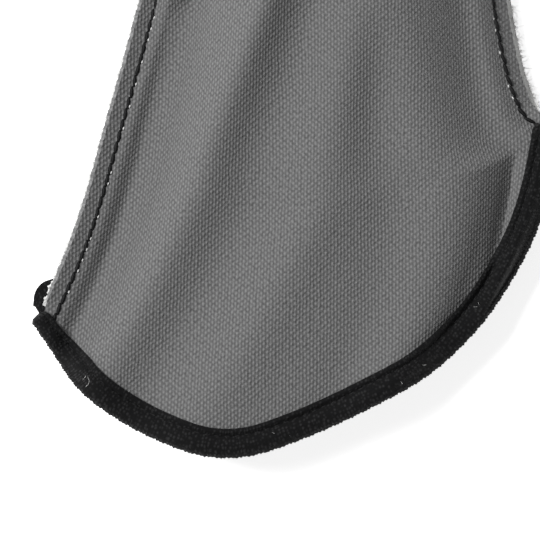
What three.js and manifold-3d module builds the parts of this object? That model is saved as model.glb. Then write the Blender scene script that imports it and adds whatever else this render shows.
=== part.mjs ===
// A left karting glove lying palm down: fingers along +Y, back of the hand up, thumb towards +X.
// Sizes are millimetres. It is laid out from the middle of the wrist, on the surface z = 0.

import * as THREE from "three";
import { mergeVertices } from "three/addons/utils/BufferGeometryUtils.js";
import Module from "manifold-3d";

const wasm = await Module();
wasm.setup();

// Cloth walls, the clearance between pieces that touch, and the sewn edges
const knitWall = 1.6;
const suedeWall = 1.4;
const liningWall = 1.0;
const tapeWall = 1.0;
const layGap = 0.3;
const flangeWidth = 3.0;
const liningShow = 0.5;
const crotchSlit = 1.0;
const bindingDepth = 5.2;
const bindingGroove = 0.4;
const bindingRoll = 0.5;
const bindingWrap = 2.0;
const lobeWrap = 5.0;
const grooveShare = 0.7;
const rollShare = 0.35;
const restGap = 0.1;

// Heights: the seam between back and palm above the surface, and how far the back arches over it
const seamHeight = 9.0;
const fingerRise = 9.5;
const knuckleRise = 12.0;
const handRise = 16.0;
const wristRise = 14.5;
const cuffRise = 11.0;
const hemRise = 8.5;
const thumbRise = 10.0;
const foldHeight = 3.4;
const foldRunOut = 26.0;
const hemLift = 2.2;

// Cuff, between the stitches: the wrist, the two side seams, and how far the back's hem hangs
// below the straight line between its corners
const wristWidth = 69.0;
const littleSeamRun = 84.2;
const littleSeamFlare = 26.6;
const thumbSeamRun = 39.5;
const thumbSeamFlare = 15.6;
const tongueDrop = 43.7;
const palmHemRise = 6.0;
const palmHemStart = 5.5;

// Hand, between the stitches
const handLength = 98.0;
const indexWidth = 20.0;
const middleWidth = 20.5;
const ringWidth = 19.5;
const littleWidth = 18.0;
const indexLength = 74.0;
const middleLength = 84.0;
const ringLength = 78.0;
const littleLength = 62.0;
const crotchBlend = 26.0;
const crotchDip = 1.5;
const tipLength = 11.0;

// Thumb: where its root starts and ends along the hand, its size and its lean from the fingers
const thumbRootStart = 16.0;
const thumbRootEnd = 58.0;
const thumbWidth = 23.0;
const thumbLength = 55.0;
const thumbLeanDegrees = 38;
const webSlantDegrees = 45;
const thumbRootSpread = 26.0;
const thumbBulge = 2.5;

const degrees = Math.PI / 180;
const crotchWidth = 2 * flangeWidth + crotchSlit;
const tapeReach = layGap + tapeWall;
const backFlangeLevel = seamHeight + layGap / 2 + knitWall;
const palmFlangeLevel = seamHeight - layGap / 2 - suedeWall;
const cuffPalmFlangeLevel = seamHeight - layGap / 2 - liningWall - layGap - knitWall;

// Side seams of the cuff, from the wrist down: shares of the seam's run and of its flare
const littleSeamTable = [
  { run: 0, flare: 0 },
  { run: 0.13, flare: 0.1 },
  { run: 0.44, flare: 0.37 },
  { run: 0.75, flare: 0.66 },
  { run: 1, flare: 1 },
];
const thumbSeamTable = [
  { run: 0, flare: 0 },
  { run: 0.27, flare: 0.11 },
  { run: 0.52, flare: 0.22 },
  { run: 0.77, flare: 0.38 },
  { run: 0.94, flare: 0.6 },
  { run: 1, flare: 1 },
];

// The back's hem from its little-finger corner to its thumb corner: shares of the way across, and
// of the drop below the line between the corners
const hemTable = [
  { across: 0, drop: 0 },
  { across: 0.067, drop: 0.31 },
  { across: 0.147, drop: 0.55 },
  { across: 0.229, drop: 0.74 },
  { across: 0.31, drop: 0.89 },
  { across: 0.39, drop: 0.975 },
  { across: 0.5, drop: 1 },
  { across: 0.635, drop: 0.98 },
  { across: 0.744, drop: 0.935 },
  { across: 0.825, drop: 0.83 },
  { across: 0.88, drop: 0.71 },
  { across: 0.934, drop: 0.53 },
  { across: 0.961, drop: 0.39 },
  { across: 0.983, drop: 0.21 },
  { across: 1, drop: 0 },
];
const hemSideFrom = 0.77;

// Folds of the cuff's back: shares of the width at the wrist, half way down and at the hem, then
// the height as a share of the fold height, up or down, and the breadth as a share of the width
const foldTable = [
  { wrist: 0.13, middle: 0.08, hem: 0.03, height: -1.5, breadth: 0.07 },
  { wrist: 0.36, middle: 0.2, hem: 0.13, height: 0.9, breadth: 0.06 },
  { wrist: 0.5, middle: 0.33, hem: 0.24, height: -0.75, breadth: 0.08 },
  { wrist: 0.68, middle: 0.46, hem: 0.3, height: 0.6, breadth: 0.08 },
  { wrist: 0.62, middle: 0.62, hem: 0.58, height: -0.35, breadth: 0.07 },
  { wrist: 0.72, middle: 0.76, hem: 0.72, height: 0.55, breadth: 0.08 },
  { wrist: 0.89, middle: 0.88, hem: 0.8, height: -0.6, breadth: 0.07 },
  { wrist: 0.96, middle: 0.96, hem: 0.94, height: 0.4, breadth: 0.04 },
];
const foldFadeShare = 0.06;
const lipShare = 0.12;
const cornerFlangeShare = 0.6;

// How the back arches from side to side
const cuffArch = { power: 2.6, fullness: 1.1 };
const wristArch = { power: 2.0, fullness: 0.7 };
const handArch = { power: 2.4, fullness: 0.55 };

// Where the hand and the cuff are fullest: shares of the way from the wrist
const handMiddleShare = 0.4;
const cuffCrownShare = 0.35;
const cuffArchShare = 0.3;

// Fingers from the little one to the index: width, length, splay towards the thumb, and how far
// up the hand each side of the root lies, as a share of the hand's length
const fingerTable = [
  { width: littleWidth, length: littleLength, splay: -8, outer: 0.85, inner: 0.94 },
  { width: ringWidth, length: ringLength, splay: -3, outer: 0.94, inner: 0.99 },
  { width: middleWidth, length: middleLength, splay: 1, outer: 0.99, inner: 1 },
  { width: indexWidth, length: indexLength, splay: 4, outer: 1, inner: 0.93 },
];
const handSideBulge = 3.0;

// Cells of each panel: the palm is plain, so it takes fewer
const backCells = {
  finger: 6,
  fingerRows: 8,
  tipRows: 4,
  wristRows: 2,
  rootRows: 4,
  hemRows: 6,
  seamRows: 6,
};
const palmCells = { finger: 4, fingerRows: 5, tipRows: 3, wristRows: 2, rootRows: 3 };
const cuffPalmCells = { across: 16, rows: 7 };
const crotchCells = 2;
const palmHemStations = 4;
const palmFullness = 1.25;
const mitreLimit = 1.6;
const flatGuard = 0.004;
const joinTolerance = 0.001;

function point(x, y, z = 0) {
  return new THREE.Vector3(x, y, z);
}

function mix(a, b, share) {
  return a + (b - a) * share;
}

function mixPoint(a, b, share) {
  return a.clone().lerp(b, share);
}

function smooth(share) {
  const s = THREE.MathUtils.clamp(share, 0, 1);
  return s * s * (3 - 2 * s);
}

function shares(count) {
  return Array.from({ length: count + 1 }, (unused, i) => i / count);
}

function curveThrough(points) {
  return new THREE.CatmullRomCurve3(points, false, "centripetal");
}

function alongCurve(curve, from, to, count) {
  return shares(count).map((share) => curve.getPointAt(mix(from, to, share)));
}

// A grid of points between four edges: rows run from the bottom edge to the top edge
function patchBetween(left, right, bottom, top) {
  const rows = left.length - 1;
  const columns = bottom.length - 1;
  return left.map((leftPoint, i) => {
    const t = i / rows;
    return bottom.map((bottomPoint, j) => {
      const u = j / columns;
      const lengthwise = mixPoint(bottomPoint, top[j], t);
      const crosswise = mixPoint(leftPoint, right[i], u);
      const lowCorners = mixPoint(left[0], right[0], u);
      const highCorners = mixPoint(left[rows], right[rows], u);
      return lengthwise.add(crosswise).sub(mixPoint(lowCorners, highCorners, t));
    });
  });
}

function arch(share, form) {
  const side = Math.abs(2 * share - 1);
  return Math.pow(Math.max(0, 1 - Math.pow(side, form.power)), form.fullness);
}

// An arch that turns from the wrist's form into another one
function archFromWrist(form, share) {
  return {
    power: mix(wristArch.power, form.power, smooth(share)),
    fullness: mix(wristArch.fullness, form.fullness, smooth(share)),
  };
}

// Rises of two swellings that run into each other
function softUnion(a, b) {
  return Math.cbrt(a ** 3 + b ** 3);
}

// The cuff's plan outline

const wristLeft = point(-wristWidth / 2, 0);
const wristRight = point(wristWidth / 2, 0);
const littleCorner = point(-wristWidth / 2 - littleSeamFlare, -littleSeamRun);
const thumbCorner = point(wristWidth / 2 + thumbSeamFlare, -thumbSeamRun);

function seamCurve(table, side, run, flare) {
  return curveThrough(
    table.map((row) => point(side * (wristWidth / 2 + flare * row.flare), -run * row.run)),
  );
}

const littleSeam = seamCurve(littleSeamTable, -1, littleSeamRun, littleSeamFlare);
const thumbSeam = seamCurve(thumbSeamTable, 1, thumbSeamRun, thumbSeamFlare);
const backHem = curveThrough(
  hemTable.map((row) => {
    const level = mixPoint(littleCorner, thumbCorner, row.across);
    return point(level.x, level.y - tongueDrop * row.drop);
  }),
);
const palmSeamFrom = 1 - palmHemStart / littleSeam.getLength();
const palmCorner = littleSeam.getPointAt(palmSeamFrom);
const palmHem = curveThrough(
  shares(palmHemStations).map((share) => {
    const level = mixPoint(palmCorner, thumbCorner, share);
    return point(level.x, level.y + palmHemRise * Math.sin(Math.PI * share));
  }),
);

// The hand's plan outline: finger roots and crotches from the little finger to the index

function fingerRoots() {
  const crotches = (fingerTable.length - 1) * crotchWidth;
  const total = fingerTable.reduce((sum, finger) => sum + finger.width, crotches);
  let x = -total / 2;
  return fingerTable.map((finger) => {
    const left = point(x, handLength * finger.outer);
    const right = point(x + finger.width, handLength * finger.inner);
    x += finger.width + crotchWidth;
    return { ...finger, left, right };
  });
}

const fingers = fingerRoots();
const rootLeft = fingers[0].left;
const rootRight = fingers[fingers.length - 1].right;

function halfTurn(cells) {
  return shares(cells).map((share) => (1 - Math.cos(Math.PI * share)) / 2);
}

// The finger root line, and how much of a finger's round each of its points takes
function rootLine(cells) {
  const line = [];
  fingers.forEach((finger, i) => {
    halfTurn(cells).forEach((share, k) => {
      line.push({ at: mixPoint(finger.left, finger.right, share), round: Math.sin((Math.PI * k) / cells) });
    });
    if (i < fingers.length - 1) {
      const middle = mixPoint(finger.right, fingers[i + 1].left, 0.5);
      line.push({ at: middle.setY(middle.y - crotchDip), round: 0 });
    }
  });
  return line;
}

function handSide(wristPoint, rootPoint, side) {
  const middle = mixPoint(wristPoint, rootPoint, 0.5);
  return curveThrough([wristPoint, middle.setX(middle.x + side * handSideBulge), rootPoint]);
}

const littleHandSide = handSide(wristLeft, rootLeft, -1);
const thumbHandSide = handSide(wristRight, rootRight, 1);
const thumbLean = thumbLeanDegrees * degrees;
const thumbAxis = point(Math.sin(thumbLean), Math.cos(thumbLean));
const thumbAcross = point(Math.cos(thumbLean), -Math.sin(thumbLean));
const webSlant = webSlantDegrees * degrees;
const webAcross = point(Math.cos(webSlant), -Math.sin(webSlant));
const webTop = thumbHandSide.getPointAt(thumbRootEnd / rootRight.y);
const webBottom = webTop.clone().addScaledVector(webAcross, crotchWidth);
const thumbRoot = thumbHandSide.getPointAt(thumbRootStart / rootRight.y);

// The thumb side of the hand from the wrist up, with the thumb's root and the web beside it
function thumbSidePoints(cells) {
  const below = alongCurve(thumbHandSide, 0, thumbRootStart / rootRight.y, cells.wristRows);
  const root = shares(cells.finger).map((share) => mixPoint(thumbRoot, webBottom, share));
  const above = alongCurve(thumbHandSide, thumbRootEnd / rootRight.y, 1, cells.rootRows);
  return [...below, ...root.slice(1), ...above];
}

// Rise of the hand's middle at a share of the way from the wrist to the finger roots
function handCrown(share) {
  if (share < handMiddleShare) {
    return mix(wristRise, handRise, smooth(share / handMiddleShare));
  }
  return mix(handRise, knuckleRise, smooth((share - handMiddleShare) / (1 - handMiddleShare)));
}

// The hand as a grid of rows from the wrist to the finger roots, each point's rise in its z
function handGrid(cells, wristY) {
  const line = rootLine(cells.finger);
  const columns = line.length - 1;
  const right = thumbSidePoints(cells);
  const left = alongCurve(littleHandSide, 0, 1, right.length - 1);
  left[0].setY(wristY);
  right[0].setY(wristY);
  const bottom = shares(columns).map((share) => mixPoint(left[0], right[0], share));
  const grid = patchBetween(left, right, bottom, line.map((entry) => entry.at));
  grid.forEach((row, i) => {
    const t = i / (grid.length - 1);
    const nearRoots = smooth(1 - ((1 - t) * handLength) / crotchBlend);
    const rootShare = THREE.MathUtils.clamp((i - cells.wristRows) / cells.finger, 0, 1);
    row.forEach((spot, j) => {
      const round = mix(arch(j / columns, archFromWrist(handArch, t)), line[j].round, nearRoots);
      const reach = 1 - spot.distanceTo(right[i]) / thumbRootSpread;
      const swelling = thumbRise * Math.sin(Math.PI * rootShare) * smooth(reach);
      spot.setZ(softUnion(handCrown(t) * round, swelling));
    });
  });
  return grid;
}

// A finger or thumb from its root row to its round tip, each point's rise in its z
function digitGrid(rootRow, axis, across, digit, rise, cells) {
  const rootMiddle = mixPoint(rootRow[0], rootRow[rootRow.length - 1], 0.5);
  const shoulder = point(rootMiddle.x, rootMiddle.y).addScaledVector(axis, digit.length - tipLength);
  const section = halfTurn(cells.finger).map((share, k) => {
    const side = (share - 0.5) * digit.width;
    return { side, rise: rise * Math.sin((Math.PI * k) / cells.finger) };
  });
  const grid = shares(cells.fingerRows).map((share) =>
    section.map((spot, k) => {
      const end = shoulder.clone().addScaledVector(across, spot.side).setZ(spot.rise);
      return mixPoint(rootRow[k], end, share);
    }),
  );
  shares(cells.tipRows).slice(1).forEach((share) => {
    const angle = (share * Math.PI) / 2;
    const centre = shoulder.clone().addScaledVector(axis, tipLength * Math.sin(angle));
    grid.push(
      section.map((spot) => {
        const place = centre.clone().addScaledVector(across, spot.side * Math.cos(angle));
        return place.setZ(spot.rise * Math.cos(angle));
      }),
    );
  });
  return grid;
}

function fingerGrids(hand, cells) {
  const top = hand[hand.length - 1];
  return fingers.map((finger, i) => {
    const start = i * (cells.finger + crotchCells);
    const splay = finger.splay * degrees;
    const axis = point(Math.sin(splay), Math.cos(splay));
    const across = point(Math.cos(splay), -Math.sin(splay));
    return digitGrid(top.slice(start, start + cells.finger + 1), axis, across, finger, fingerRise, cells);
  });
}

function thumbGrid(hand, cells) {
  const lastRow = cells.wristRows + cells.finger;
  const root = shares(cells.finger).map((unused, k) => hand[lastRow - k].at(-1));
  const middle = mixPoint(thumbRoot, webBottom, 0.5);
  const tip = webBottom.clone().addScaledVector(thumbAxis, thumbLength);
  tip.addScaledVector(thumbAcross, thumbWidth / 2);
  const size = { width: thumbWidth, length: middle.distanceTo(tip) };
  const axis = tip.sub(middle).normalize();
  const across = point(axis.y, -axis.x);
  const grid = digitGrid(root, axis, across, size, thumbRise, cells);
  grid.forEach((row, i) => {
    const bulge = thumbBulge * Math.sin(Math.PI * Math.min(1, i / cells.fingerRows));
    row.at(-1).addScaledVector(across, bulge);
  });
  return grid;
}

// Rise of the cuff's back at a share of the way down and across
function cuffCrown(down) {
  if (down < cuffCrownShare) {
    return mix(wristRise, cuffRise, smooth(down / cuffCrownShare));
  }
  return mix(cuffRise, hemRise, smooth((down - cuffCrownShare) / (1 - cuffCrownShare)));
}

function foldRise(down, across) {
  const edge = smooth(Math.min(across, 1 - across) / foldFadeShare);
  return foldTable.reduce((sum, fold) => {
    const centre =
      fold.wrist * (1 - down) * (1 - 2 * down) +
      fold.middle * 4 * down * (1 - down) +
      fold.hem * down * (2 * down - 1);
    const away = (across - centre) / fold.breadth;
    return sum + foldHeight * fold.height * edge * Math.exp(-away * away);
  }, 0);
}

// The back of the cuff from its hem to the wrist, with the hem's thumb end as its right edge
function cuffGrid(cells) {
  const columns = fingers.length * cells.finger + (fingers.length - 1) * crotchCells;
  const rows = cells.hemRows + cells.seamRows;
  const left = alongCurve(littleSeam, 1, 0, rows);
  const hemSide = alongCurve(backHem, hemSideFrom, 1, cells.hemRows);
  const seamSide = alongCurve(thumbSeam, 1, 0, cells.seamRows);
  const right = [...hemSide, ...seamSide.slice(1)];
  const bottom = alongCurve(backHem, 0, hemSideFrom, columns);
  const top = shares(columns).map((share) => mixPoint(wristLeft, wristRight, share));
  const grid = patchBetween(left, right, bottom, top);
  grid.forEach((row, i) => {
    const down = 1 - i / rows;
    row.forEach((spot, j) => {
      const across = j / columns;
      const free = Math.sin(Math.PI * THREE.MathUtils.clamp(2 * down - 1, 0, 1));
      const lip = hemLift * free * smooth(1 - (1 - across) / lipShare);
      const round = arch(across, archFromWrist(cuffArch, down / cuffArchShare));
      spot.setZ(cuffCrown(down) * round + foldRise(down, across) + lip);
    });
  });
  return grid;
}

function cuffPalmGrid(cells) {
  const left = alongCurve(littleSeam, palmSeamFrom, 0, cells.rows);
  const right = alongCurve(thumbSeam, 1, 0, cells.rows);
  left[cells.rows].setY(-layGap / 2);
  right[cells.rows].setY(-layGap / 2);
  const bottom = alongCurve(palmHem, 0, 1, cells.across);
  const top = shares(cells.across).map((share) => mixPoint(left[cells.rows], right[cells.rows], share));
  const grid = patchBetween(left, right, bottom, top);
  grid.forEach((row) => row.forEach((spot, j) => spot.setZ(arch(j / cells.across, handArch))));
  return grid;
}

// The stitch line round a panel's digits and sides, clockwise seen from above

function leftEdge(grid) {
  return grid.map((row) => row[0]);
}

function rightEdge(grid) {
  return grid.map((row) => row[row.length - 1]);
}

function roundDigit(grid) {
  return [...leftEdge(grid), ...rightEdge(grid).reverse().slice(1)];
}

function handStitchLine(hand, digits, thumb, cells) {
  const top = hand[hand.length - 1];
  const line = [...leftEdge(hand).slice(0, -1)];
  digits.forEach((digit, i) => {
    line.push(...roundDigit(digit));
    if (i < digits.length - 1) {
      line.push(top[i * (cells.finger + crotchCells) + cells.finger + 1]);
    }
  });
  const side = rightEdge(hand);
  const webRow = cells.wristRows + cells.finger;
  line.push(...side.slice(webRow + 1, -1).reverse());
  line.push(...roundDigit(thumb));
  line.push(...side.slice(0, cells.wristRows).reverse());
  return line;
}

// Points beside a line, to its left as it runs, with mitred corners and a width for each point
function besideLine(line, widths, closed = false) {
  const count = line.length;
  return line.map((spot, i) => {
    const before = closed || i > 0 ? line[(i + count - 1) % count] : null;
    const after = closed || i < count - 1 ? line[(i + 1) % count] : null;
    const arriving = leftOf(before ?? spot, before ? spot : after);
    const leaving = leftOf(after ? spot : before, after ?? spot);
    const mitre = arriving.clone().add(leaving).normalize();
    const stretch = Math.min(mitreLimit, 1 / mitre.dot(arriving));
    return spot.clone().addScaledVector(mitre, widths[i] * stretch);
  });
}

// The level direction to the left of the way from one point to another
function leftOf(from, to) {
  return point(from.y - to.y, to.x - from.x).normalize();
}

// A sheet gathers grids and strips that share points along their edges

function newSheet() {
  return { points: [], places: new Map(), faces: [] };
}

function pointIndex(sheet, spot) {
  const place = spot.toArray().map((value) => value.toFixed(4)).join(" ");
  if (!sheet.places.has(place)) {
    sheet.places.set(place, sheet.points.length);
    sheet.points.push(spot.clone());
  }
  return sheet.places.get(place);
}

// Each face of a sheet is turned up, since a panel nowhere folds over itself in plan
function addFace(sheet, a, b, c) {
  const [p, q, r] = [a, b, c].map((index) => sheet.points[index]);
  const turn = (q.x - p.x) * (r.y - p.y) - (q.y - p.y) * (r.x - p.x);
  if (a !== b && b !== c && a !== c) {
    sheet.faces.push(turn > 0 ? [a, b, c] : [a, c, b]);
  }
}

function addGrid(sheet, grid) {
  const ids = grid.map((row) => row.map((spot) => pointIndex(sheet, spot)));
  for (let i = 0; i < ids.length - 1; i += 1) {
    for (let j = 0; j < ids[i].length - 1; j += 1) {
      const [a, b, c, d] = [ids[i][j], ids[i][j + 1], ids[i + 1][j + 1], ids[i + 1][j]];
      const across = sheet.points[a].distanceTo(sheet.points[c]);
      const against = sheet.points[b].distanceTo(sheet.points[d]);
      if (across < against) {
        addFace(sheet, a, b, c);
        addFace(sheet, a, c, d);
      } else {
        addFace(sheet, a, b, d);
        addFace(sheet, b, c, d);
      }
    }
  }
}

// Points beside a stitch line, cut straight across where the line ends at the wrist
function besideStitches(line, widths) {
  const beside = besideLine(line, widths);
  [0, line.length - 1].filter((i) => isAtWrist(line[i])).forEach((i) => beside[i].setY(line[i].y));
  return beside;
}

function isAtWrist(spot) {
  return Math.abs(spot.y) <= layGap;
}

function addFlange(sheet, line, widths = uniform(line, flangeWidth)) {
  addGrid(sheet, [line, besideStitches(line, widths)]);
}

function faceNormal(points, face) {
  const [a, b, c] = face.map((index) => points[index]);
  return b.clone().sub(a).cross(c.clone().sub(a)).normalize();
}

function offsetSteps(points, faces) {
  const around = points.map(() => []);
  faces.forEach((face) => {
    const normal = faceNormal(points, face);
    face.forEach((index, k) => {
      const to = points[face[(k + 1) % 3]].clone().sub(points[index]);
      const from = points[face[(k + 2) % 3]].clone().sub(points[index]);
      around[index].push({ normal, weight: to.angleTo(from) });
    });
  });
  return around.map(offsetStep);
}

// The step that moves a point one unit off every face round it, or as near to that as they allow
function offsetStep(entries) {
  const sum = point(0, 0);
  const spread = new Array(9).fill(0);
  entries.forEach(({ normal, weight }) => {
    sum.addScaledVector(normal, weight);
    const parts = normal.toArray();
    parts.forEach((a, i) => parts.forEach((b, j) => (spread[3 * i + j] += weight * a * b)));
  });
  [0, 4, 8].forEach((place) => (spread[place] += flatGuard));
  return sum.applyMatrix3(new THREE.Matrix3().set(...spread).invert()).clampLength(0, mitreLimit);
}

// The closed wall between two offsets of a sheet, the first one outside
function wallBetween(points, faces, steps, outside, inside) {
  const count = points.length;
  const position = [
    ...points.map((spot, i) => spot.clone().addScaledVector(steps[i], outside[i])),
    ...points.map((spot, i) => spot.clone().addScaledVector(steps[i], -inside[i])),
  ];
  const index = [];
  const edges = new Map();
  faces.forEach(([a, b, c]) => {
    index.push([a, b, c], [a + count, c + count, b + count]);
    [[a, b], [b, c], [c, a]].forEach(([from, to]) => edges.set(`${from} ${to}`, [from, to]));
  });
  edges.forEach(([from, to]) => {
    if (!edges.has(`${to} ${from}`)) {
      index.push([to, from, from + count], [to, from + count, to + count]);
    }
  });
  return { position, index };
}

function uniform(points, value) {
  return points.map(() => value);
}

// The outer face of an upper panel, whose rise starts from its flange
function upperFace(sheet, level) {
  const points = sheet.points.map((spot) => spot.clone().setZ(level + spot.z));
  return { points, faces: sheet.faces };
}

// The outer face of a lower panel, whose rise runs down from its flange and is flat on its floor
function lowerFace(sheet, level, floorAt) {
  const points = sheet.points.map((spot) => {
    const floor = floorAt(spot);
    return spot.clone().setZ(Math.max(floor, level - (level - floor) * palmFullness * spot.z));
  });
  return { points, faces: sheet.faces.map(([a, b, c]) => [a, c, b]) };
}

// A cloth panel's wall, cut square where it meets its neighbour at the wrist
function clothWall({ points, faces }, wall, endsAtWrist = false) {
  const steps = offsetSteps(points, faces);
  steps.filter((step, i) => endsAtWrist && isAtWrist(points[i])).forEach((step) => step.setY(0));
  return wallBetween(points, faces, steps, uniform(points, 0), uniform(points, wall));
}

// The space that a piece keeps clear: its wall grown by the clearance on both sides and all round
function spaceOf({ points, faces }, wall) {
  const loop = boundaryOf(faces);
  const line = loop.map((index) => points[index]);
  const turned = faceNormal(points, faces[0]).z > 0 ? -1 : 1;
  const grownPoints = [...points, ...besideLine(line, uniform(line, turned * layGap), true)];
  const grownFaces = [...faces];
  loop.forEach((from, i) => {
    const next = (i + 1) % loop.length;
    const [outer, nextOuter] = [points.length + i, points.length + next];
    grownFaces.push([loop[next], from, outer], [loop[next], outer, nextOuter]);
  });
  const steps = offsetSteps(points, faces);
  steps.push(...loop.map((index) => steps[index]));
  const spare = uniform(grownPoints, layGap);
  return wallBetween(grownPoints, grownFaces, steps, spare, uniform(grownPoints, wall + layGap));
}

// The edge of a sheet as a loop of points, in the order in which its faces run
function boundaryOf(faces) {
  const edges = new Map();
  const ways = new Set(faces.flatMap(([a, b, c]) => [`${a} ${b}`, `${b} ${c}`, `${c} ${a}`]));
  ways.forEach((way) => {
    const [from, to] = way.split(" ").map(Number);
    if (!ways.has(`${to} ${from}`)) {
      edges.set(from, to);
    }
  });
  const loop = [edges.keys().next().value];
  while (edges.get(loop[loop.length - 1]) !== loop[0]) {
    loop.push(edges.get(loop[loop.length - 1]));
  }
  return loop;
}

// Height of a face over a plan point, or null beside it
function heightOver(face, spot) {
  const plan = (corner) => point(corner.x, corner.y);
  const here = plan(spot);
  for (const triangle of face.faces) {
    const corners = triangle.map((index) => face.points[index]);
    const parts = THREE.Triangle.getBarycoord(here, ...corners.map(plan), new THREE.Vector3());
    if (parts && Math.min(parts.x, parts.y, parts.z) >= 0) {
      return corners[0].z * parts.x + corners[1].z * parts.y + corners[2].z * parts.z;
    }
  }
  return null;
}

function geometryOf(solid) {
  const geometry = new THREE.BufferGeometry();
  const position = solid.position.flatMap((spot) => spot.toArray());
  geometry.setAttribute("position", new THREE.Float32BufferAttribute(position, 3));
  geometry.setIndex(solid.index.flat());
  return geometry;
}

// Joining and cutting

function toManifold(solid) {
  const merged = mergeVertices(geometryOf(solid), joinTolerance);
  const vertProperties = new Float32Array(merged.getAttribute("position").array);
  const triVerts = new Uint32Array(merged.getIndex().array);
  return new wasm.Manifold(new wasm.Mesh({ numProp: 3, vertProperties, triVerts }));
}

function fromManifold(body) {
  const mesh = body.getMesh();
  const geometry = new THREE.BufferGeometry();
  geometry.setAttribute("position", new THREE.Float32BufferAttribute(mesh.vertProperties, 3));
  geometry.setIndex(Array.from(mesh.triVerts));
  return geometry;
}

// Back panel

// The cuff's folds run on past the wrist and fade out
function handWithFolds(cells) {
  const grid = handGrid(cells, 0);
  grid.forEach((row) => row.forEach((spot, j) => {
    const left = 1 - smooth(spot.y / foldRunOut);
    spot.setZ(spot.z + foldRise(0, j / (row.length - 1)) * left);
  }));
  return grid;
}

const backHand = handWithFolds(backCells);
const backFingers = fingerGrids(backHand, backCells);
const backThumb = thumbGrid(backHand, backCells);
const backCuff = cuffGrid(backCells);

// The flange narrows to a share of its width under the binding at the little-finger corner, and
// to nothing at the thumb corner
function flangeWidths(line, fromLittleCorner, toThumbCorner) {
  const widths = uniform(line, flangeWidth);
  if (fromLittleCorner) {
    widths[0] = flangeWidth * cornerFlangeShare;
  }
  if (toThumbCorner) {
    widths[line.length - 1] = 0;
  }
  return widths;
}

function backStitchLine() {
  const hand = handStitchLine(backHand, backFingers, backThumb, backCells);
  const thumbSide = rightEdge(backCuff).slice(-backCells.seamRows - 1).reverse();
  return [...leftEdge(backCuff).slice(0, -1), ...hand, ...thumbSide.slice(1)];
}

function backSheet() {
  const sheet = newSheet();
  backCuff[backCuff.length - 1].forEach((spot, j) => spot.copy(backHand[0][j]));
  [backCuff, backHand, ...backFingers, backThumb].forEach((grid) => addGrid(sheet, grid));
  const line = backStitchLine();
  addFlange(sheet, line, flangeWidths(line, true, true));
  return sheet;
}

// Palm panel: its rise is kept as a share of the full depth, which the widest parts pass

function palmSheet() {
  const hand = handGrid(palmCells, layGap / 2);
  const digits = fingerGrids(hand, palmCells);
  const thumb = thumbGrid(hand, palmCells);
  const sheet = newSheet();
  [hand, ...digits, thumb].forEach((grid) => addGrid(sheet, grid));
  addFlange(sheet, handStitchLine(hand, digits, thumb, palmCells));
  sheet.points.forEach((spot) => spot.setZ(Math.min(1, spot.z / fingerRise)));
  return sheet;
}

// Palm side of the cuff, lifted towards its hem by the binding that goes under it

function cuffPalmSheet() {
  const grid = cuffPalmGrid(cuffPalmCells);
  const sheet = newSheet();
  addGrid(sheet, grid);
  const little = leftEdge(grid);
  const thumb = rightEdge(grid).reverse();
  addFlange(sheet, little, flangeWidths(little, true, false));
  addFlange(sheet, thumb, flangeWidths(thumb, false, true));
  return sheet;
}

function cuffPalmFloor(spot) {
  const chordShare = (spot.x - palmCorner.x) / (thumbCorner.x - palmCorner.x);
  const hemY = mix(palmCorner.y, thumbCorner.y, chordShare) + palmHemRise;
  return (tapeReach + bindingRoll + restGap) * smooth(spot.y / hemY);
}

const back = backSheet();
const backFace = upperFace(back, backFlangeLevel);
const palmFace = lowerFace(palmSheet(), palmFlangeLevel, () => 0);
const cuffPalm = cuffPalmSheet();
const cuffPalmFace = lowerFace(cuffPalm, cuffPalmFlangeLevel, cuffPalmFloor);

// White lining between the cuff's flanges, showing past their raw edges

function liningFace(line, widths) {
  const sheet = newSheet();
  const near = besideStitches(line, uniform(line, layGap));
  const far = besideStitches(line, widths.map((width) => width + liningShow));
  addGrid(sheet, [near, far]);
  return upperFace(sheet, seamHeight - layGap / 2);
}

const littleStitches = leftEdge(cuffPalmGrid(cuffPalmCells));
const thumbStitches = rightEdge(cuffPalmGrid(cuffPalmCells)).reverse();
const littleLining = liningFace(littleStitches, flangeWidths(littleStitches, true, false));
const thumbLining = liningFace(thumbStitches, flangeWidths(thumbStitches, false, true));

// Binding: a band over each hem, joined at the corners, with room cut for what it is folded over.
// Its rows go from its inner edge over the stitched groove and the roll to its outer edge.

const bandRows = [
  { inset: bindingDepth, cover: tapeReach - bindingGroove / 2 },
  { inset: bindingDepth * grooveShare, cover: tapeReach - bindingGroove },
  { inset: bindingDepth * rollShare, cover: tapeReach + bindingRoll },
  { inset: 0, cover: tapeReach + bindingRoll / 2 },
  { inset: -tapeReach, cover: 0 },
];

function hemBand(face, line, wraps) {
  const first = line[0].clone().lerp(line[1], -wraps.start / line[0].distanceTo(line[1]));
  const [last, beforeLast] = [line[line.length - 1], line[line.length - 2]];
  const end = last.clone().lerp(beforeLast, -wraps.end / last.distanceTo(beforeLast));
  const path = [first.setZ(line[0].z), ...line, end.setZ(last.z)];
  const rows = bandRows.map((row) => besideLine(path, uniform(path, row.inset)));
  rows.forEach((row) => row.forEach((spot, i) => spot.setZ(heightOver(face, spot) ?? path[i].z)));
  const sheet = newSheet();
  addGrid(sheet, rows);
  const covers = uniform(sheet.points, 0);
  rows.forEach((row, i) => row.forEach((spot) => {
    covers[pointIndex(sheet, spot)] = bandRows[i].cover;
  }));
  const downward = faceNormal(face.points, face.faces[0]).z < 0;
  const faces = sheet.faces.map(([a, b, c]) => (downward ? [a, c, b] : [a, b, c]));
  const steps = offsetSteps(sheet.points, faces);
  return wallBetween(sheet.points, faces, steps, covers, covers.map((cover) => cover + knitWall));
}

// Points of a panel's sheet, moved to the height of its outer face
function onFace(face, sheet, line) {
  return line.map((spot) => face.points[pointIndex(sheet, spot)].clone());
}

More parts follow.
